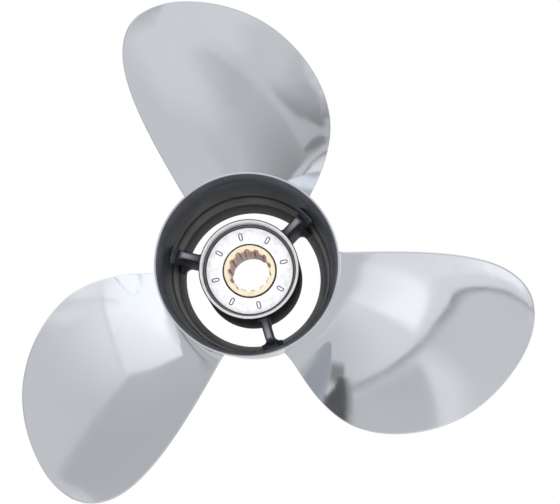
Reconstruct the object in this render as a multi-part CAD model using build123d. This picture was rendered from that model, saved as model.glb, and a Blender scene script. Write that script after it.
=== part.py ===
from build123d import *
import math
import os

# Three-blade boat propeller with through-hub exhaust, right-hand rotation.
# Millimetres. The shaft axis is Y: -Y is aft, +Y is forward (the gearcase side), +Z is up.
# The origin is on the shaft axis, at half the hub's length.
# Angles round the shaft are clockwise from +Z as seen from aft.

# ---------------------------------------------------------------- driving dimensions
BLADES = 3
HUB_LENGTH = 120.0
AFT = -HUB_LENGTH / 2
FORWARD = HUB_LENGTH / 2

# Outer barrel: radii of the exterior at its rim, waist and forward end.
RIM_RADIUS = 52.6
WAIST_RADIUS = 50.4
NOSE_RADIUS = 48.6
RIM_WALL = 1.3
RIM_ROUND = 0.35
BORE_RADIUS = 47.8
LEDGE_RADIUS = 41.4
COLLAR_RADIUS = 46.5
COLLAR_DEPTH = 12.0
LEDGE_FRONT = FORWARD - COLLAR_DEPTH

# Inner barrel, which the rubber bush is pressed into.
INNER_RADIUS = 29.3
INNER_NOSE_RADIUS = 30.2
INNER_BORE = 27.25
INNER_RIM_BEVEL = 0.65
INNER_AFT = -28.5
SHOULDER_RADIUS = 24.0
SHOULDER_START = 44.5

# Ribs between the barrels.
RIB_THICKNESS = 5.0
RIB_INNER_FILLET = 3.2
RIB_OUTER_FILLET = 3.5
RIB_LEDGE_FILLET = 3.5
RIB_LEDGE_START = 38.0
RIB_AFT = -19.0
RIB_TURN_RADIUS = 40.5
RIB_WALL_Y = 16.0
RIB_ANGLE = 43.5
RIB_NODES = 3

# Rubber bush and the metal cage moulded into it.
RUNNING_FIT = 0.05
BUSH_RADIUS = INNER_BORE - RUNNING_FIT
BEAD_AFT = -18.6
BUSH_FORWARD = 42.0
PLATE_AFT = -17.0
PLATE_THICKNESS = 1.5
PLATE_RADIUS = 25.3
PLATE_BORE = 16.0
TIE_BARS = 8
TIE_ANGLE = 30.0
TIE_RADIUS = 20.7
TIE_LENGTH = 3.5
TIE_WIDTH = 1.2
TIE_GAP = 0.6

# Brass drive sleeve.
SLEEVE_RADIUS = 15.0
SLEEVE_AFT = -18.5
SLEEVE_FORWARD = 47.5
SPLINE_TEETH = 13
SPLINE_MINOR = 11.4
SPLINE_MAJOR = 12.8
SPLINE_END = 29.0
SPLINE_LEAD = 0.7
SPLINE_ANGLE = 18.9
GROOVE_MOUTH = 3.3
GROOVE_FLOOR = 2.5
PILOT_RADIUS = 12.9

# Blades. PITCH_ROOT and PITCH_TIP are the advance in one turn.
ROOT_RADIUS = 53.0
TIP_RADIUS = 169.0
PITCH_ROOT = 292.5
PITCH_TIP = 277.8
FACE_AT_TOP = 19.3
RAKE_SLOPE = 0.141
ROOT_THICKNESS = 9.0
TIP_THICKNESS = 2.6
EDGE_THICKNESS = 1.7
EDGE_ROUND = 0.7
ROOT_FLARE = 3.0
ROOT_FLARE_HEIGHT = 8.0
CUP = 2.2
CUP_ANGLE = 9.0

# Blade outline for the blade that points up: (radius, angle), from the trailing edge's root,
# out to the tip and back down the leading edge.
OUTLINE = [
    (46.0, -45.5),
    (53.0, -42.6),
    (62.0, -40.7),
    (100.0, -36.4),
    (130.0, -33.4),
    (152.0, -29.8),
    (164.5, -25.4),
    (169.4, -19.0),
    (166.0, -10.0),
    (154.5, 2.2),
    (134.0, 15.0),
    (107.0, 26.5),
    (80.0, 32.0),
    (62.0, 34.0),
    (55.0, 35.0),
    (48.0, 37.5),
]


# ---------------------------------------------------------------- helpers
def around(radius, angle, y=0.0):
    """The point at a radius and a clockwise angle from +Z, seen from aft."""
    turn = math.radians(angle)
    return Vector(radius * math.sin(turn), y, radius * math.cos(turn))


def turned(shape, angle):
    """The shape turned clockwise about the shaft, seen from aft."""
    return shape.rotate(Axis.Y, angle)


def ring(*profile):
    """Solid of revolution about the shaft from a closed outline of (radius, y) points."""
    return revolve(make_face(Polyline(*profile, close=True)), Axis.Y)


def rod(radius, low, high):
    """Plain cylinder on the shaft axis between two y values."""
    return ring((0, low), (radius, low), (radius, high), (0, high))


# ---------------------------------------------------------------- hub barrels
def barrel_exterior():
    """The outer barrel's exterior curve: flared aft rim, long waist and tapered nose."""
    return Spline(
        (RIM_RADIUS, AFT),
        (WAIST_RADIUS + 0.3, AFT + 11),
        (WAIST_RADIUS, AFT + 35),
        (WAIST_RADIUS - 0.6, AFT + 75),
        (NOSE_RADIUS, FORWARD),
    )


def barrel_core():
    """The solid inside the exterior curve, used to trim the blade roots."""
    curve = barrel_exterior()
    axis_line = Polyline(curve @ 1, (0, FORWARD), (0, AFT), curve @ 0)
    return revolve(make_face(curve + axis_line), Axis.Y)


def outer_bore():
    """The hollow of the outer barrel, with its step, ledge and gearcase collar."""
    step = AFT + 68
    hollow = ring(
        (0, AFT),
        (RIM_RADIUS - RIM_WALL, AFT),
        (BORE_RADIUS + 1.0, AFT + 13),
        (BORE_RADIUS, step),
        (BORE_RADIUS - 1.0, step + 5),
        (BORE_RADIUS - 2.2, step + 27),
        (LEDGE_RADIUS + 3.0, step + 30),
        (LEDGE_RADIUS + 1.4, step + 34.5),
        (LEDGE_RADIUS, step + 39),
        (LEDGE_RADIUS, LEDGE_FRONT),
        (COLLAR_RADIUS, LEDGE_FRONT),
        (COLLAR_RADIUS, FORWARD),
        (0, FORWARD),
    )
    return hollow


def make_outer_barrel():
    barrel = barrel_core() - outer_bore()
    rim = barrel.edges().filter_by(GeomType.CIRCLE).group_by(Axis.Y)[0]
    return fillet(rim, RIM_ROUND)


def make_inner_barrel():
    """A slightly tapered tube with a shoulder that stops the bush from going through."""
    barrel = ring(
        (INNER_BORE, INNER_AFT + 0.9),
        (INNER_BORE + INNER_RIM_BEVEL, INNER_AFT),
        (INNER_RADIUS, INNER_AFT),
        (INNER_NOSE_RADIUS, LEDGE_FRONT),
        (SHOULDER_RADIUS, LEDGE_FRONT),
        (SHOULDER_RADIUS, SHOULDER_START),
        (INNER_BORE, SHOULDER_START),
    )
    rim = barrel.edges().filter_by(GeomType.CIRCLE).group_by(Axis.Y)[0]
    return fillet(rim, 0.3)


def inner_core():
    """The solid inside the inner barrel's exterior, used to trim the ribs' inner feet."""
    return ring(
        (0, INNER_AFT),
        (INNER_RADIUS, INNER_AFT),
        (INNER_NOSE_RADIUS, LEDGE_FRONT),
        (0, LEDGE_FRONT),
    )


def foot(wall, size, side):
    """Ends of the fillet from the rib's side to a round wall: inside it (-1) or outside (+1)."""
    half = RIB_THICKNESS / 2
    centre = wall + side * size
    reach = math.sqrt(centre**2 - (half + size) ** 2)
    on_wall = (wall * reach / centre, wall * (half + size) / centre)
    return (reach, half), on_wall


def rib_half_section(wall, size):
    """Half of the rib's section across the shaft, run past both walls."""
    inner_side, inner_wall = foot(INNER_RADIUS, RIB_INNER_FILLET, 1)
    outer_side, outer_wall = foot(wall, size, -1)
    inner_end = (inner_wall[0] - 4, inner_wall[1])
    outer_end = (outer_wall[0] + 6, outer_wall[1])
    side = (
        Line(inner_end, inner_wall)
        + RadiusArc(inner_wall, inner_side, -RIB_INNER_FILLET)
        + Line(inner_side, outer_side)
        + RadiusArc(outer_side, outer_wall, -size)
        + Line(outer_wall, outer_end)
    )
    back = Polyline(outer_end, (outer_end[0], 0), (inner_end[0], 0), inner_end)
    return make_face(side + back)


def above_rib():
    """The space aft of the ribs' outer ends, where their aft edge sweeps forward to the wall."""
    past_wall = RIM_RADIUS + 3
    sweep = Spline(
        (RIB_TURN_RADIUS, RIB_AFT),
        (RIB_TURN_RADIUS + 2.2, RIB_AFT + 1.6),
        (RIB_TURN_RADIUS + 4.6, RIB_AFT + 10),
        (BORE_RADIUS + 0.8, RIB_WALL_Y),
        tangents=((1, 0), (0, 1)),
    )
    end = (BORE_RADIUS + 0.8, RIB_WALL_Y)
    back = Polyline(
        end,
        (past_wall, RIB_WALL_Y),
        (past_wall, AFT),
        (RIB_TURN_RADIUS, AFT),
        (RIB_TURN_RADIUS, RIB_AFT),
    )
    return revolve(make_face(sweep + back), Axis.Y)


def make_rib(angle):
    """A radial web with a round aft edge, and feet that flare into both barrels."""
    nose_y = RIB_AFT + RIB_THICKNESS / 2
    half_section = rib_half_section(BORE_RADIUS + 0.5, RIB_OUTER_FILLET)
    ledge_half = rib_half_section(LEDGE_RADIUS, RIB_LEDGE_FILLET)
    web = Pos(0, nose_y, 0) * revolve(half_section, Axis.X)
    for half, start in ((half_section, nose_y), (ledge_half, RIB_LEDGE_START)):
        section = Plane.XZ.offset(-start) * (half + mirror(half, Plane.XZ))
        web = web + extrude(section, start - LEDGE_FRONT)
    web = (web & outer_bore()) - inner_core() - above_rib()
    return turned(web, angle - 90)


# ---------------------------------------------------------------- rubber bush
def tie_slots(length, width, low, high):
    """Eight radial obround bars between two y values."""
    slots = []
    for index in range(TIE_BARS):
        face = SlotOverall(length, width)
        bar = extrude(Plane.XZ.offset(-low) * Pos(TIE_RADIUS, 0) * face, low - high)
        slots.append(turned(bar, TIE_ANGLE - 90 + 360 / TIE_BARS * index))
    return slots


def make_rubber_bush():
    """Rubber ring with a round bead outside the aft plate and a thin lip inside it."""
    floor = PLATE_AFT + PLATE_THICKNESS
    bead = (BUSH_RADIUS - PLATE_RADIUS) / 2
    outline = (
        Polyline(
            (PLATE_RADIUS, BEAD_AFT + bead),
            (PLATE_RADIUS, floor),
            (PLATE_BORE, floor),
            (PLATE_BORE, PLATE_AFT + 1.1),
            (SLEEVE_RADIUS + RUNNING_FIT, PLATE_AFT + 1.1),
            (SLEEVE_RADIUS + RUNNING_FIT, BUSH_FORWARD),
            (BUSH_RADIUS, BUSH_FORWARD),
            (BUSH_RADIUS, BEAD_AFT + bead),
        )
        + ThreePointArc(
            (BUSH_RADIUS, BEAD_AFT + bead),
            (PLATE_RADIUS + bead, BEAD_AFT),
            (PLATE_RADIUS, BEAD_AFT + bead),
        )
    )
    bush = revolve(make_face(outline), Axis.Y)
    for slot in tie_slots(TIE_LENGTH, TIE_WIDTH, PLATE_AFT, BUSH_FORWARD):
        bush = bush - slot
    return bush


def make_bush_plate(aft_face):
    plate = ring(
        (PLATE_BORE, aft_face),
        (PLATE_RADIUS, aft_face),
        (PLATE_RADIUS, aft_face + PLATE_THICKNESS),
        (PLATE_BORE, aft_face + PLATE_THICKNESS),
    )
    length = TIE_LENGTH + 2 * TIE_GAP
    width = TIE_WIDTH + 2 * TIE_GAP
    for slot in tie_slots(length, width, aft_face - 1, aft_face + PLATE_THICKNESS + 1):
        plate = plate - slot
    return plate


def make_tie_bars():
    forward_end = BUSH_FORWARD + PLATE_THICKNESS
    return Compound(tie_slots(TIE_LENGTH, TIE_WIDTH, PLATE_AFT, forward_end))


# ---------------------------------------------------------------- drive sleeve
def make_drive_sleeve():
    """Brass sleeve: internal spline from the aft end, plain pilot bore at the forward end."""
    sleeve = ring(
        (SPLINE_MINOR + SPLINE_LEAD, SLEEVE_AFT),
        (SLEEVE_RADIUS - 0.2, SLEEVE_AFT),
        (SLEEVE_RADIUS, SLEEVE_AFT + 0.2),
        (SLEEVE_RADIUS, SLEEVE_FORWARD - 0.5),
        (SLEEVE_RADIUS - 0.5, SLEEVE_FORWARD),
        (PILOT_RADIUS + 0.5, SLEEVE_FORWARD),
        (PILOT_RADIUS, SLEEVE_FORWARD - 0.5),
        (PILOT_RADIUS, SPLINE_END),
        (SPLINE_MINOR, SPLINE_END),
        (SPLINE_MINOR, SLEEVE_AFT + SPLINE_LEAD),
    )
    mouth = GROOVE_MOUTH / 2
    floor = GROOVE_FLOOR / 2
    face = make_face(
        Polyline(
            (SPLINE_MINOR - 1, -mouth),
            (SPLINE_MAJOR, -floor),
            (SPLINE_MAJOR, floor),
            (SPLINE_MINOR - 1, mouth),
            close=True,
        )
    )
    face = fillet(face.vertices().group_by(Axis.X)[-1], 0.9)
    groove = extrude(Plane.XZ.offset(-SLEEVE_AFT + 1) * face, SLEEVE_AFT - 1 - SPLINE_END)
    for index in range(SPLINE_TEETH):
        sleeve = sleeve - turned(groove, SPLINE_ANGLE - 90 + 360 / SPLINE_TEETH * index)
    return sleeve


# ---------------------------------------------------------------- blades
def span(radius):
    """0 at the blade's root and 1 at its tip."""
    return (radius - ROOT_RADIUS) / (TIP_RADIUS - ROOT_RADIUS)


def pitch(radius):
    return PITCH_ROOT + (PITCH_TIP - PITCH_ROOT) * span(radius)


def leading_angle(radius):
    return 34.0 - 53.0 * max(span(radius), 0) ** 2.6


def trailing_angle(radius):
    reach = max(span(radius), 0)
    return -41.5 + 12.0 * reach + 6.0 * reach**8


def thickness(radius, angle):
    """Thickness along the shaft: fullest at half chord, thin at both edges and at the tip."""
    reach = min(max(span(radius), 0), 1)
    crown = ROOT_THICKNESS + (TIP_THICKNESS - ROOT_THICKNESS) * reach**0.8
    middle = (leading_angle(radius) + trailing_angle(radius)) / 2
    half_chord = max((leading_angle(radius) - trailing_angle(radius)) / 2, 10.0)
    across = min(abs(angle - middle) / half_chord, 1)
    normal = EDGE_THICKNESS + (crown - EDGE_THICKNESS) * math.cos(math.pi / 2 * across) ** 2
    slope = pitch(radius) / (2 * math.pi * radius)
    return normal * math.hypot(1, slope)


def cup(radius, angle):
    """How far the trailing edge curls aft; the curl grows towards the tip."""
    edge = max(1 - (angle - trailing_angle(radius)) / CUP_ANGLE, 0)
    reach = min(max(span(radius), 0), 1)
    return CUP * min(edge, 1.5) ** 2 * reach


def flare(radius):
    """Extra half-thickness where the blade blends into the barrel."""
    height = 1 - (radius - WAIST_RADIUS) / ROOT_FLARE_HEIGHT
    return ROOT_FLARE * min(max(height, 0), 1) ** 3


def blade_face(side):
    """The aft (side 0) or forward (side 1) face, run past the outline on every edge."""
    rows = []
    for row in range(27):
        radius = 26.0 + 6.0 * row
        points = []
        for column in range(33):
            angle = -54.0 + 3.25 * column
            y = FACE_AT_TOP - RAKE_SLOPE * (radius - ROOT_RADIUS) + pitch(radius) * angle / 360
            y = y - cup(radius, angle) - flare(radius)
            if side == 1:
                y = y + thickness(radius, angle) + 2 * flare(radius)
            points.append(around(radius, angle, y))
        rows.append(points)
    return Face.make_surface_from_array_of_points(rows, tol=0.01)


def make_blade():
    """The blade that points up: the outline's prism kept between the two faces."""
    edge = Spline(*[around(radius, turn) for radius, turn in OUTLINE])
    outline = make_face(edge + Line(edge @ 1, edge @ 0))
    prism = extrude(Plane((0, -90, 0)) * outline, 220, dir=(0, 1, 0)).solid()
    forward_of_aft_face = prism.split(blade_face(0), keep=Keep.ALL).sort_by(Axis.Y)[-1]
    blade = forward_of_aft_face.split(blade_face(1), keep=Keep.ALL).sort_by(Axis.Y)[0]
    long_edges = blade.edges().filter_by(lambda edge: edge.length > TIP_RADIUS)
    blade = blade.fillet(EDGE_ROUND, long_edges)
    return blade - barrel_core()


# ---------------------------------------------------------------- write the pieces
def main():
    parts = {
        "outer_barrel": make_outer_barrel(),
        "inner_barrel": make_inner_barrel(),
        "rubber_bush": make_rubber_bush(),
        "bush_plate_aft": make_bush_plate(PLATE_AFT),
        "bush_plate_forward": make_bush_plate(BUSH_FORWARD),
        "bush_tie_bars": make_tie_bars(),
        "drive_sleeve": make_drive_sleeve(),
    }
    for index in range(RIB_NODES):
        parts[f"rib_{index + 1}"] = make_rib(RIB_ANGLE + 360 / RIB_NODES * index)
    blade = make_blade()
    for index in range(BLADES):
        parts[f"blade_{index + 1}"] = turned(blade, 360 / BLADES * index)
    os.makedirs("parts", exist_ok=True)
    for name, shape in parts.items():
        export_step(shape, f"parts/{name}.step")


main()
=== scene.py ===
import math

import bpy
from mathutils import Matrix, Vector

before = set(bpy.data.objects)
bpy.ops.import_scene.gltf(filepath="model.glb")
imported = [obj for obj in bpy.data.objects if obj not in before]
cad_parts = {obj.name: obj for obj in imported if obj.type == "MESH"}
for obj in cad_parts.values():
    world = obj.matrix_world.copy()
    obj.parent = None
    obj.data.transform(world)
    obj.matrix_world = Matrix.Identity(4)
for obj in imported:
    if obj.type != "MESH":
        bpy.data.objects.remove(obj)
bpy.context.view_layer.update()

# The shaft runs along Y with the aft rim towards the camera. Everything is in metres.
CAMERA_PLACE = Vector((0.0441, -1.1600, -0.0995))
CAMERA_AIM = Vector((-0.0229, 0.9951, 0.0963))
CAMERA_LENS = 125.9
SENSOR_WIDTH = 36.0

# Places along the shaft.
HUB_AFT = -0.060
FLARE_END = -0.047
HUB_FORWARD = 0.060
INNER_RIM = -0.0280
RIB_NOSE = -0.0189
SLEEVE_FACE = -0.0179
SLEEVE_END = 0.0473

# The polished steel reflects this share of red, green and blue, and STEEL_MEAN on the whole.
STEEL_TINT = (0.781, 0.807, 0.857)
STEEL_SMEARED = (0.748, 0.772, 0.818)
BARREL_TINT = (0.800, 0.813, 0.838)
STEEL_MEAN = 0.81

# A card's level turns into light by this power.
DISPLAY_POWER = 2.25
TENT_LOW = 0.735
TENT_HIGH = 0.755

# A soft lamp beside the camera, within these angles of the shaft, that only matt surfaces see.
LAMP_STRENGTH = 1.45
LAMP_EDGE = 56
LAMP_CORE = 42

FLOOR_SIZE = 12.0
FLOOR_GAP = 0.001


# ---------------------------------------------------------------- node helpers
class Tree:
    """Small helpers over one node tree. Values may be numbers, tuples or sockets."""

    def __init__(self, tree):
        self.tree = tree
        tree.nodes.clear()

    def add(self, kind, settings=None, **inputs):
        node = self.tree.nodes.new(kind)
        for key, value in (settings or {}).items():
            setattr(node, key, value)
        for key, value in inputs.items():
            self.put(node, int(key[1:]) if key[1:].isdigit() else key.replace("_", " "), value)
        return node

    def put(self, node, key, value):
        if isinstance(value, bpy.types.NodeSocket):
            self.tree.links.new(value, node.inputs[key])
        else:
            node.inputs[key].default_value = value

    def math(self, operation, *values):
        node = self.add("ShaderNodeMath", {"operation": operation})
        for index, value in enumerate(values):
            self.put(node, index, value)
        return node.outputs[0]

    def vector(self, operation, *values, out=0):
        node = self.add("ShaderNodeVectorMath", {"operation": operation})
        for index, value in enumerate(values):
            self.put(node, index, value)
        return node.outputs[out]

    def ramp(self, value, low, high, start=0.0, end=1.0, smooth=True):
        """start where value is low, end where it is high; low may be above high."""
        kind = "SMOOTHSTEP" if smooth else "LINEAR"
        if low > high:
            low, high, start, end = high, low, end, start
        node = self.add("ShaderNodeMapRange", {"interpolation_type": kind}, i0=value)
        for index, number in ((1, low), (2, high), (3, start), (4, end)):
            self.put(node, index, number)
        return node.outputs[0]

    def mix(self, a, b, share):
        node = self.add("ShaderNodeMix", {"data_type": "FLOAT"}, i0=share)
        self.put(node, 2, a)
        self.put(node, 3, b)
        return node.outputs[0]

    def blend(self, a, b, share):
        node = self.add("ShaderNodeMix", {"data_type": "RGBA"}, i0=share)
        self.put(node, 6, a)
        self.put(node, 7, b)
        return node.outputs[2]

    def noise(self, place, scale, detail=4.0, rough=0.55, stretch=(1, 1, 1)):
        if stretch != (1, 1, 1):
            place = self.vector("MULTIPLY", place, stretch)
        node = self.add("ShaderNodeTexNoise", i0=place, Scale=scale, Detail=detail, Roughness=rough)
        return node.outputs[0]

    def bump(self, height, distance, strength=1.0, normal=None):
        node = self.add("ShaderNodeBump", Strength=strength, Distance=distance, Height=height)
        if normal is not None:
            self.put(node, "Normal", normal)
        return node.outputs[0]


def new_material(name):
    material = bpy.data.materials.new(name)
    material.use_nodes = True
    return material, Tree(material.node_tree)


def finish_material(t, **inputs):
    bsdf = t.add("ShaderNodeBsdfPrincipled", **inputs)
    out = t.add("ShaderNodeOutputMaterial")
    t.tree.links.new(bsdf.outputs[0], out.inputs[0])


def rgb(red, green, blue):
    return (red, green, blue, 1.0)


def cylinder_place(t):
    """Object coordinates, with the radius from the shaft and the place along it."""
    place = t.add("ShaderNodeTexCoord").outputs["Object"]
    split = t.add("ShaderNodeSeparateXYZ", i0=place)
    flat = t.vector("MULTIPLY", place, (1, 0, 1))
    radius = t.vector("LENGTH", flat, out=1)
    return place, radius, split.outputs["Y"]


# ---------------------------------------------------------------- materials
def steel_inputs(t, place):
    """Hand-polished stainless steel: slight waviness, fine buffing marks and a thin haze.

    Returns the smear pattern, the roughness and the normal."""
    wave = t.noise(place, 22.0, 2.0, 0.4)
    buff = t.noise(place, 900.0, 3.0, 0.6, (1.0, 0.25, 0.08))
    haze = t.noise(place, 60.0, 5.0, 0.6)
    smear = t.noise(place, 9.0, 4.0, 0.6)
    rough = t.math("ADD", t.ramp(haze, 0.35, 0.75, 0.050, 0.095), t.ramp(smear, 0.45, 0.8, 0.0, 0.03))
    normal = t.bump(wave, 0.00035, 0.35)
    normal = t.bump(buff, 0.00001, 0.25, normal)
    return smear, rough, normal


def casting_inputs(t, place, shade):
    """Dark satin skin the casting keeps where nobody polishes it; shade scales its colour.

    Returns the colour, the roughness and the normal."""
    grain = t.noise(place, 420.0, 5.0, 0.65)
    patch = t.noise(place, 45.0, 4.0, 0.6)
    rough = t.math("ADD", t.ramp(patch, 0.3, 0.7, 0.40, 0.50), t.ramp(grain, 0.4, 0.7, 0.0, 0.05))
    low = rgb(0.059, 0.065, 0.081)
    high = rgb(0.087, 0.094, 0.116)
    tint = t.vector("SCALE", t.blend(low, high, t.ramp(patch, 0.35, 0.75)))
    t.put(tint.node, "Scale", shade)
    return tint, rough, t.bump(grain, 0.00012, 0.30)


def blade_steel():
    material, t = new_material("polished_steel")
    place, radius, along = cylinder_place(t)
    smear, rough, normal = steel_inputs(t, place)
    tint = t.blend(rgb(*STEEL_TINT), rgb(*STEEL_SMEARED), t.ramp(smear, 0.45, 0.85))
    finish_material(t, Base_Color=tint, Metallic=1.0, Roughness=rough, Normal=normal)
    return material


def barrel_steel():
    """Polished outside and on the aft rim; dark casting inside the bore, with painted shade that makes it
    paler towards the rim and darker deeper in.
    """
    material, t = new_material("barrel_steel")
    place, radius, along = cylinder_place(t)
    flare = t.ramp(along, HUB_AFT, FLARE_END, 0.0023, 0.0, smooth=False)
    cone = t.ramp(along, FLARE_END, HUB_FORWARD, 0.0494, 0.0474, smooth=False)
    mid_wall = t.math("ADD", flare, cone)
    inside = t.ramp(t.math("SUBTRACT", mid_wall, radius), -0.0001, 0.0002)
    smear, rough, normal = steel_inputs(t, place)
    # painted shade: the casting's colour is scaled up towards the aft rim and down deeper in the bore
    depth_shade = t.ramp(along, HUB_AFT, -0.040, 1.8, 1.0)
    depth_shade = t.math("MULTIPLY", depth_shade, t.ramp(along, -0.025, 0.015, 1.0, 0.65))
    dark, dark_rough, dark_normal = casting_inputs(t, place, depth_shade)
    finish_material(
        t,
        Base_Color=t.blend(rgb(*BARREL_TINT), dark, inside),
        Metallic=t.mix(1.0, 0.30, inside),
        Roughness=t.mix(rough, dark_rough, inside),
        Normal=t.blend(normal, dark_normal, inside),
    )
    return material


def inner_barrel_casting():
    """Dark casting with a machined bore and a machined, bevelled aft rim."""
    material, t = new_material("inner_barrel_casting")
    place, radius, along = cylinder_place(t)
    bore = t.ramp(radius, 0.0288, 0.0286)
    rim = t.ramp(along, INNER_RIM + 0.0004, INNER_RIM)
    rim = t.math("MULTIPLY", rim, t.ramp(radius, 0.02880, 0.02865))
    bright = t.math("MAXIMUM", bore, rim)
    # painted highlight: the bore and the bevel get a lighter tone of the same machined metal than the flat
    # rim face
    flat = t.ramp(radius, 0.02780, 0.02795)
    machined = t.blend(rgb(0.80, 0.81, 0.83), rgb(0.71, 0.72, 0.735), flat)
    rings = t.noise(t.add("ShaderNodeCombineXYZ", i0=radius, i1=along).outputs[0], 4200.0, 2.0)
    dark, dark_rough, dark_normal = casting_inputs(t, place, 0.5)
    finish_material(
        t,
        Base_Color=t.blend(dark, machined, bright),
        Metallic=t.mix(0.2, 0.15, bright),
        Roughness=t.mix(0.72, t.ramp(rings, 0.3, 0.7, 0.24, 0.32), bright),
        Normal=t.blend(dark_normal, t.bump(rings, 0.00001, 0.1), bright),
    )
    return material


def rib_casting():
    """Dark casting, with painted light that makes the outer feet paler, and a painted highlight along the
    aft nose.
    """
    material, t = new_material("dark_casting")
    place, radius, along = cylinder_place(t)
    # painted light: the casting's colour is scaled up at the rib's outer feet, which lie in shade
    tint, rough, normal = casting_inputs(t, place, t.ramp(radius, 0.039, 0.042, 0.8, 2.6))
    # painted highlight: a pale, smoother strip along the rounded aft nose, brighter outwards
    nose_highlight = t.ramp(along, RIB_NOSE + 0.0011, RIB_NOSE)
    nose_highlight = t.math("MULTIPLY", nose_highlight, t.ramp(radius, 0.030, 0.040, 0.3, 1.0))
    nose_highlight = t.math("MULTIPLY", nose_highlight, t.ramp(radius, 0.0415, 0.0405))
    finish_material(
        t,
        Base_Color=t.blend(tint, rgb(0.42, 0.43, 0.46), nose_highlight),
        Metallic=0.30,
        Roughness=t.mix(t.math("ADD", rough, 0.15), 0.42, nose_highlight),
        Normal=normal,
    )
    return material


def bush_rubber():
    """Black moulded rubber with a painted highlight on the crest of the bead round the plate."""
    material, t = new_material("bush_rubber")
    place, radius, along = cylinder_place(t)
    grain = t.noise(place, 700.0, 4.0)
    bloom = t.noise(place, 60.0, 4.0)
    # painted highlight: a grey ring on the crest of the bead
    crest_highlight = t.math("MULTIPLY", t.ramp(radius, 0.02585, 0.02625), t.ramp(radius, 0.02695, 0.02655))
    crest_highlight = t.math("MULTIPLY", crest_highlight, t.ramp(along, -0.0165, -0.0172))
    skin = t.blend(rgb(0.020, 0.020, 0.022), rgb(0.040, 0.041, 0.044), t.ramp(bloom, 0.45, 0.8))
    finish_material(
        t,
        Base_Color=t.blend(skin, rgb(0.15, 0.15, 0.16), crest_highlight),
        Roughness=t.ramp(grain, 0.3, 0.7, 0.34, 0.42),
        Normal=t.bump(grain, 0.00002, 0.25),
    )
    return material


def plate_metal():
    """Pale zinc-like plate with a mottled, slightly dimpled surface."""
    material, t = new_material("plate_metal")
    place, radius, along = cylinder_place(t)
    mottle = t.noise(place, 330.0, 4.0, 0.6)
    fine = t.noise(place, 1400.0, 3.0, 0.6)
    finish_material(
        t,
        Base_Color=t.blend(rgb(0.80, 0.81, 0.84), rgb(0.94, 0.94, 0.95), t.ramp(mottle, 0.35, 0.62)),
        Metallic=0.05,
        Roughness=t.ramp(fine, 0.3, 0.7, 0.36, 0.55),
        Normal=t.bump(mottle, 0.00018, 0.5),
    )
    return material


def sleeve_brass():
    """Pale turned end faces, with orange tooth tips; warmer, darker teeth and grooves inside, with painted
    shade that darkens them further deeper in.
    """
    material, t = new_material("sleeve_brass")
    place, radius, along = cylinder_place(t)
    inside = t.ramp(along, SLEEVE_FACE, SLEEVE_FACE + 0.0005)
    inside = t.math("MULTIPLY", inside, t.ramp(along, SLEEVE_END, SLEEVE_END - 0.0004))
    # painted shade: the teeth and grooves darken deeper into the sleeve
    deep_shade = t.ramp(along, -0.016, 0.02)
    tools = t.noise(t.add("ShaderNodeCombineXYZ", i0=radius, i1=along).outputs[0], 2600.0, 3.0)
    stain = t.noise(place, 260.0, 4.0)
    face = t.blend(rgb(0.88, 0.78, 0.58), rgb(0.80, 0.65, 0.44), t.ramp(stain, 0.45, 0.8))
    tips = t.math("MULTIPLY", t.ramp(radius, 0.0123, 0.0120), t.ramp(stain, 0.3, 0.6))
    face = t.blend(face, rgb(0.95, 0.64, 0.38), tips)
    wall = t.blend(rgb(0.98, 0.60, 0.47), rgb(0.60, 0.30, 0.25), t.ramp(stain, 0.35, 0.65))
    wall = t.blend(wall, rgb(0.46, 0.27, 0.23), deep_shade)
    finish_material(
        t,
        Base_Color=t.blend(face, wall, inside),
        Metallic=t.mix(0.15, 0.7, inside),
        Roughness=t.ramp(tools, 0.3, 0.7, 0.28, 0.42),
        Normal=t.bump(tools, 0.00004, 0.4),
    )
    return material


def dress():
    steel = blade_steel()
    casting = rib_casting()
    plate = plate_metal()
    looks = {
        "outer_barrel": barrel_steel(),
        "inner_barrel": inner_barrel_casting(),
        "rubber_bush": bush_rubber(),
        "bush_plate_aft": plate,
        "bush_plate_forward": plate,
        "bush_tie_bars": plate,
        "drive_sleeve": sleeve_brass(),
    }
    for index in (1, 2, 3):
        looks[f"blade_{index}"] = steel
        looks[f"rib_{index}"] = casting
    for name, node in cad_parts.items():
        node.data.materials.clear()
        node.data.materials.append(looks[name])


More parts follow.
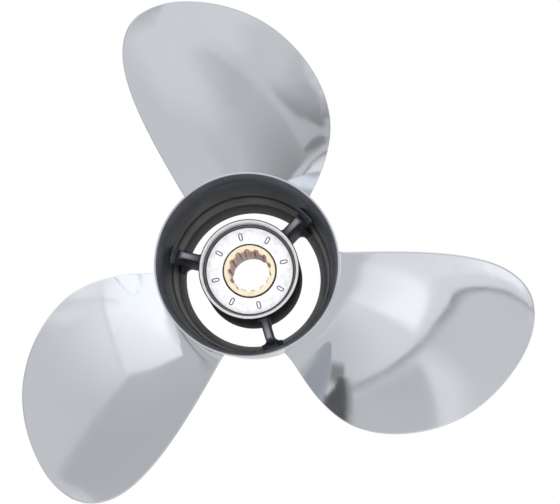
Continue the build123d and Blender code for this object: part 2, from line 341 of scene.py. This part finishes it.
# ---------------------------------------------------------------- studio light
class Studio:
    """The light tent round the propeller, laid out flat.

    A direction's place is (across, up) in degrees from straight aft: across is to starboard. Levels are how
    bright a card looks in the polished steel, from 0 to 1."""

    def __init__(self, t):
        self.t = t
        look = t.add("ShaderNodeTexCoord").outputs["Generated"]
        split = t.add("ShaderNodeSeparateXYZ", i0=look)
        turn = t.math("ARCCOSINE", t.math("MULTIPLY", split.outputs["Y"], -1.0))
        self.off_axis = t.math("DEGREES", turn)
        side = t.vector("NORMALIZE", t.vector("MULTIPLY", look, (1, 0, 1)))
        spread = t.vector("SCALE", side)
        t.put(spread.node, "Scale", self.off_axis)
        flat = t.add("ShaderNodeSeparateXYZ", i0=spread)
        self.across = flat.outputs["X"]
        self.up = flat.outputs["Z"]
        self.place = t.add("ShaderNodeCombineXYZ", i0=self.across, i1=self.up).outputs[0]
        self.level = None

    def beside(self, start, end, soft):
        """1 on the left of the line from start to end, 0 on its right."""
        run = Vector((end[0] - start[0], end[1] - start[1], 0)).normalized()
        normal = Vector((-run.y, run.x, 0))
        offset = normal.dot(Vector((start[0], start[1], 0)))
        reach = self.t.vector("DOT_PRODUCT", self.place, tuple(normal), out=1)
        return self.t.ramp(reach, offset - soft, offset + soft)

    def oval(self, centre, size, soft):
        """1 inside an upright ellipse of these half sizes; soft is a share of them."""
        node = self.t.add("ShaderNodeMapping", {"vector_type": "TEXTURE"}, Vector=self.place)
        self.t.put(node, "Location", (centre[0], centre[1], 0))
        self.t.put(node, "Scale", (size[0], size[1], 1))
        reach = self.t.vector("LENGTH", node.outputs[0], out=1)
        return self.t.ramp(reach, 1 + soft, 1 - soft)

    def panel(self, *corners, soft=0.4):
        """1 inside a convex shape whose corners run anticlockwise."""
        mask = 1.0
        for start, end in zip(corners, corners[1:] + corners[:1]):
            mask = self.t.math("MULTIPLY", mask, self.beside(start, end, soft))
        return mask

    def reach(self, centre):
        """Distance from a point of the layout, in degrees."""
        return self.t.vector("DISTANCE", self.place, (centre[0], centre[1], 0), out=1)

    def rim(self, centre, size, width):
        """1 on the inside edge of an ellipse, fading inwards; width is a share of its size."""
        inner = self.oval(centre, (size[0] * (1 - width), size[1] * (1 - width)), width)
        edge = self.oval(centre, size, 0.012)
        return self.t.math("MULTIPLY", edge, self.t.math("SUBTRACT", 1.0, inner))

    def card(self, level, *masks, share=1.0):
        """Lays a card of one level over what is there, by this share, where all its masks are 1."""
        mask = share
        for extra in masks:
            mask = self.t.math("MULTIPLY", mask, extra)
        self.level = self.t.mix(self.level, level, mask)


def starboard_cards(s):
    """What the blade that points up mirrors."""
    t = s.t
    # Leading edge and tip.
    s.card(0.80, s.oval((33, 9), (14, 9), 0.6))
    # Body of the blade, darker towards the root.
    dim = t.math("MULTIPLY", t.ramp(s.up, 9, -27, smooth=False), t.ramp(s.across, 24, 56))
    s.card(0.565, dim, t.ramp(s.up, -30.0, -28.6), t.ramp(s.across, 20, 30))
    s.card(0.722, t.ramp(s.across, 48, 60), t.ramp(s.up, 20, 12), t.ramp(s.up, -2, 4))
    face = s.panel((37.2, -0.4), (40, -4.2), (52, -4.2), (52, 9), (33.5, 9), (34.6, 3.4), soft=0.5)
    s.card(t.ramp(s.up, 0, 8, 0.698, 0.765), face, t.ramp(s.across, 50, 44), t.ramp(s.up, 9, 5))
    # Bright band along the trailing edge.
    inside_bend = t.ramp(s.reach((-37.6, -42.8)), 84.6, 82.8)
    band = (t.ramp(s.across, 26, 29), t.ramp(s.up, -24, -20), t.ramp(s.up, 6, 2))
    s.card(t.ramp(s.up, -5, -14, 0.805, 0.765), inside_bend, *band)
    strip = s.panel(
        (30, 4), (30, -16), (33, -20.5), (35.3, -25.4), (46.5, -25.4), (46.3, -20.5), (44.8, -15.6),
        (42.8, -9.3), (40.2, -4), (37.5, -0.5), (35, 4), soft=0.9,
    )
    s.card(t.ramp(s.up, -4, -24, 0.750, 0.672, smooth=False), strip, t.ramp(s.up, 1, -5))
    # Dark lobe beside the band, and the bright spot that ends it.
    lobe = s.panel(
        (28, -1), (31, -14), (33.2, -19.3), (35.4, -24.2), (37.3, -24.4), (41, -18.2), (41.4, -15),
        (40.4, -10.5), (36.7, -5.5), (33, -1), soft=0.35,
    )
    shade = t.mix(t.ramp(s.up, -9, -19, 0.757, 0.605, smooth=False), 0.455, t.ramp(s.up, -18.5, -25))
    shade = t.math("MULTIPLY", shade, t.ramp(s.across, 36, 40.5, 1.0, 0.88))
    s.card(shade, lobe, t.ramp(s.up, -3, -7))
    s.card(0.93, s.oval((28.5, -18.5), (4.4, 7), 0.25))
    # Two dark slivers over the trailing edge's root, with a bright gap between.
    sliver = s.panel(
        (37.2, -27.6), (38.3, -29), (43, -28.1), (46.2, -27.2), (46.2, -25.7), (41.5, -25.3), (38.2, -26.2),
        soft=0.25,
    )
    s.card(0.50, sliver)
    s.card(0.85, t.ramp(s.up, -32.0, -33.5), t.ramp(s.across, 30, 38), t.ramp(s.across, 60, 54))
    s.card(0.36, s.panel((39, -31.1), (54, -33.5), (54, -32.9), (39, -30.6), soft=0.2))


def lower_port_cards(s):
    """What the blade that points to starboard mirrors."""
    t = s.t
    # Wide bright field of the outer half, and a patch that is brighter still.
    field = (t.ramp(s.across, -58, -30), t.ramp(s.across, 8, -2), t.ramp(s.up, -70, -60))
    s.card(0.83, *field, t.ramp(s.up, -20, -30))
    middle = (t.ramp(s.across, -14, -10), t.ramp(s.across, 10, 0))
    s.card(0.845, *middle, t.ramp(s.up, -68, -58), t.ramp(s.up, -20, -34))
    patch = (
        s.beside((-30, -55), (-26.8, -36), -2.2),
        s.beside((-13.2, -41.0), (-27, -36.2), 1.2),
        s.beside((-8.6, -58), (-14.4, -40), 2.0),
        t.ramp(s.up, -69, -58),
    )
    s.card(t.mix(0.88, 0.955, t.ramp(s.up, -61, -41)), *patch)
    # Arch whose dark edge crosses the blade as an S.
    below = t.ramp(s.up, -5, -9)
    arch_place = ((-15, -8), (42, 27))
    arch = s.oval(*arch_place, 0.012)
    s.card(0.758, arch, below, t.ramp(s.across, 6, 0))
    s.card(0.835, arch, s.oval((-29.5, -22), (3.6, 9), 0.6))
    block = (t.ramp(s.across, -52, -46), t.ramp(s.across, -30, -31.5), s.oval((-15, -8), (40, 23), 0.10))
    s.card(t.ramp(s.up, -15, -27, 0.720, 0.700), arch, below, *block)
    edge = t.ramp(s.across, -24, -19, 0.625, 0.57)
    s.card(edge, s.rim(*arch_place, 0.055), below, t.ramp(s.across, 0, -14), t.ramp(s.across, -54, -49))
    # Dark corner at the trailing edge's root.
    corner = (t.ramp(s.across, -66, -60), t.ramp(s.across, -52.0, -53.2))
    s.card(0.50, *corner, t.ramp(s.up, -34, -28.5), t.ramp(s.up, -20, -24))
    s.card(0.565, s.panel((-54.4, -25.9), (-50.9, -25.9), (-45.4, -9), (-57, -9), soft=0.4))
    s.card(0.335, s.panel((-54.5, -25.6), (-52.5, -25.6), (-47.0, -9), (-57, -9), soft=0.35))


def upper_port_cards(s):
    """What the blade that points down to port mirrors."""
    t = s.t
    # Plain field, bright above for the blade's root.
    s.card(0.745, t.ramp(s.up, 18, 26), t.ramp(s.across, 30, 20))
    bright = t.mix(t.ramp(s.up, 50, 64, 0.86, 0.92), 0.995, t.ramp(s.up, 62, 75))
    s.card(bright, t.ramp(s.up, 48, 52), t.ramp(s.across, 30, 20))
    s.card(0.83, s.beside((-27, 80), (-49, 64.5), -3.5), t.ramp(s.across, -75, -65))
    # Rounded bump near the root.
    bump_place = ((-7.2, 50.5), (9.3, 14.8))
    bump = s.oval(*bump_place, 0.03)
    s.card(0.905, bump, t.ramp(s.up, 54, 60), share=0.7)
    s.card(0.84, s.rim(*bump_place, 0.05), t.ramp(s.up, 52, 60), share=0.6)
    s.card(0.985, s.oval((0, 69), (15, 10), 0.6), share=0.8)
    # Window that fills the outer half.
    window_place = ((-4, 40.5), (27, 18.2))
    window = s.oval(*window_place, 0.02)
    s.card(t.mix(0.752, 0.865, t.ramp(s.up, 40, 59)), window, t.ramp(s.up, 22, 28))
    off_bump = t.math("SUBTRACT", 1.0, bump)
    s.card(0.885, window, off_bump, t.ramp(s.across, -3, 0), t.ramp(s.up, 42, 50))
    s.card(0.775, s.rim(*bump_place, 0.07), t.ramp(s.across, -5, -1), t.ramp(s.up, 40, 46), share=0.7)
    s.card(0.85, s.oval((-1.6, 50), (1.8, 5.0), 0.4))
    s.card(0.775, s.rim(*window_place, 0.05), t.ramp(s.up, 48, 52), t.ramp(s.across, 8, 2), share=0.6)
    # Grey half towards the trailing edge, with its bent upper border.
    grey = t.mix(0.675, 0.71, t.ramp(s.up, 32, 55))
    above = t.ramp(s.up, 16, 24)
    border = (
        s.beside((-52, 58.6), (-40, 55.6), -0.6),
        s.beside((-44, 56.6), (-28.2, 51), -0.6),
        s.beside((-27.8, 51), (-23, 39), -0.8),
        s.beside((-24, 41.5), (-19.3, 30.5), -0.7),
    )
    s.card(grey, *border, above)
    s.card(grey, s.beside((-52, 58), (-48.4, 67), 0.6), t.ramp(s.up, 67, 65), above)
    s.card(0.56, t.ramp(s.up, 42, 51), t.ramp(s.across, -61, -69))


def forward_cards(s):
    """What shows forward of the propeller: in the barrel, at the blade roots and through the passages."""
    t = s.t
    s.card(0.74, t.ramp(s.off_axis, 99, 108))
    # Dark bars that give the barrel and the blades' backs some contrast.
    for centre, size in (
        ((96, 48), (8, 34)),
        ((-102, 8), (8, 44)),
        ((22, -110), (38, 7)),
        ((48, 112), (34, 7)),
    ):
        s.card(0.50, s.oval(centre, size, 0.25))
    s.card(0.80, t.ramp(s.off_axis, 140, 155))
    # The blade roots mirror the barrel, which mirrors these.
    s.card(1.09, s.oval((-34, 107), (25, 14), 0.35))
    s.card(0.94, s.oval((116, -12), (15, 17), 0.35))
    s.card(0.66, t.ramp(s.across, -56, -64), t.ramp(s.up, -56, -70))


def make_world():
    world = bpy.data.worlds.new("studio")
    world.use_nodes = True
    bpy.context.scene.world = world
    t = Tree(world.node_tree)
    s = Studio(t)
    s.level = t.mix(TENT_LOW, TENT_HIGH, t.ramp(s.up, -60, 40))
    starboard_cards(s)
    lower_port_cards(s)
    upper_port_cards(s)
    forward_cards(s)
    shown = t.math("POWER", s.level, DISPLAY_POWER)
    light = t.math("DIVIDE", shown, STEEL_MEAN)
    path = t.add("ShaderNodeLightPath")
    lamp = t.math("MULTIPLY", t.ramp(s.off_axis, LAMP_EDGE, LAMP_CORE), path.outputs["Is Diffuse Ray"])
    light = t.math("ADD", light, t.math("MULTIPLY", lamp, LAMP_STRENGTH))
    seen = t.mix(light, 1.0, path.outputs["Is Camera Ray"])
    back = t.add("ShaderNodeBackground", i0=seen, i1=1.0)
    out = t.add("ShaderNodeOutputWorld")
    t.tree.links.new(back.outputs[0], out.inputs[0])


def make_floor():
    """A plain pale floor just under the circle that the blade tips sweep, left out of the mirror images."""
    reach = max(math.hypot(v.co.x, v.co.z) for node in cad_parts.values() for v in node.data.vertices)
    bpy.ops.mesh.primitive_plane_add(size=FLOOR_SIZE, location=(0, 0, -reach - FLOOR_GAP))
    floor = bpy.context.object
    floor.name = "floor"
    material, t = new_material("pale_floor")
    path = t.add("ShaderNodeLightPath")
    cloud = t.noise(t.add("ShaderNodeTexCoord").outputs["Object"], 3.0, 3.0)
    matt = t.add("ShaderNodeBsdfPrincipled", Roughness=0.7)
    t.put(matt, "Base Color", t.blend(rgb(0.93, 0.93, 0.93), rgb(0.95, 0.95, 0.95), cloud))
    glow = t.add("ShaderNodeEmission", Color=rgb(1, 1, 1), Strength=1.0)
    away = t.vector("LENGTH", t.add("ShaderNodeTexCoord").outputs["Object"], out=1)
    white = t.math("MULTIPLY", path.outputs["Is Camera Ray"], t.ramp(away, 0.12, 0.40, 0.97, 1.0))
    mix = t.add("ShaderNodeMixShader", i0=white)
    t.tree.links.new(matt.outputs[0], mix.inputs[1])
    t.tree.links.new(glow.outputs[0], mix.inputs[2])
    out = t.add("ShaderNodeOutputMaterial")
    t.tree.links.new(mix.outputs[0], out.inputs[0])
    floor.data.materials.append(material)
    floor.visible_glossy = False
    floor.visible_diffuse = False
    floor.visible_shadow = False


def make_camera():
    data = bpy.data.cameras.new("camera")
    data.lens = CAMERA_LENS
    data.sensor_width = SENSOR_WIDTH
    camera = bpy.data.objects.new("camera", data)
    bpy.context.scene.collection.objects.link(camera)
    camera.location = CAMERA_PLACE
    camera.rotation_euler = CAMERA_AIM.to_track_quat("-Z", "Y").to_euler()
    bpy.context.scene.camera = camera


dress()
make_world()
make_floor()
make_camera()
bpy.context.scene.view_settings.view_transform = "Standard"
